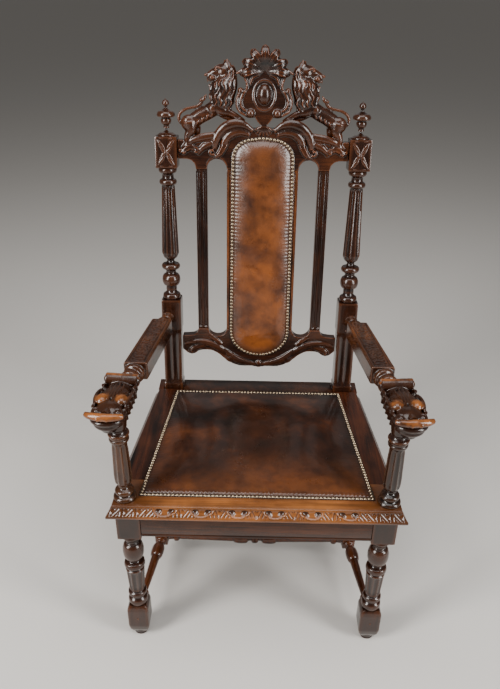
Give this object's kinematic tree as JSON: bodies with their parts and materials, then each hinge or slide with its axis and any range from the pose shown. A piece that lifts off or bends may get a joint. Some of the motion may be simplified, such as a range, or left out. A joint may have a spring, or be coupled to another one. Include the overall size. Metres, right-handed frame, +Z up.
{
  "type": "throne armchair",
  "caption": "Carved oak throne armchair with turned posts, lion-mask arms, a pierced lion crest and a nailed leather seat and back panel.",
  "frame": {"origin": "on the floor, in the middle of the throne's overall box", "axes": "+X to the viewer's right when the throne is seen from the front, +Y towards its back, +Z up"},
  "size_m": [0.7162, 0.6286, 1.3478],
  "materials": {
    "oak": "dark stained and waxed oak, worn reddish on the high points",
    "leather": "glazed chestnut-brown hide, darker at the edges",
    "nails": "antiqued domed nails"
  },
  "bodies": {
    "root": {"front_leg_right": "oak", "front_leg_left": "oak", "back_post_right": "oak", "back_post_left": "oak", "arm_support_right": "oak", "arm_support_left": "oak", "arm_right": "oak", "arm_left": "oak", "side_rail_right": "oak", "side_rail_left": "oak", "side_stretcher_right": "oak", "side_stretcher_left": "oak", "seat_board_side_right": "oak", "seat_board_side_left": "oak", "seat_board_front": "oak", "seat_board_back": "oak", "front_rail": "oak", "back_rail": "oak", "cross_stretcher": "oak", "crest_rail": "oak", "lower_back_rail": "oak", "back_splat": "oak", "back_slat_right": "oak", "back_slat_left": "oak", "seat_leather": "leather", "back_leather": "leather"}
  },
  "joints": []
}
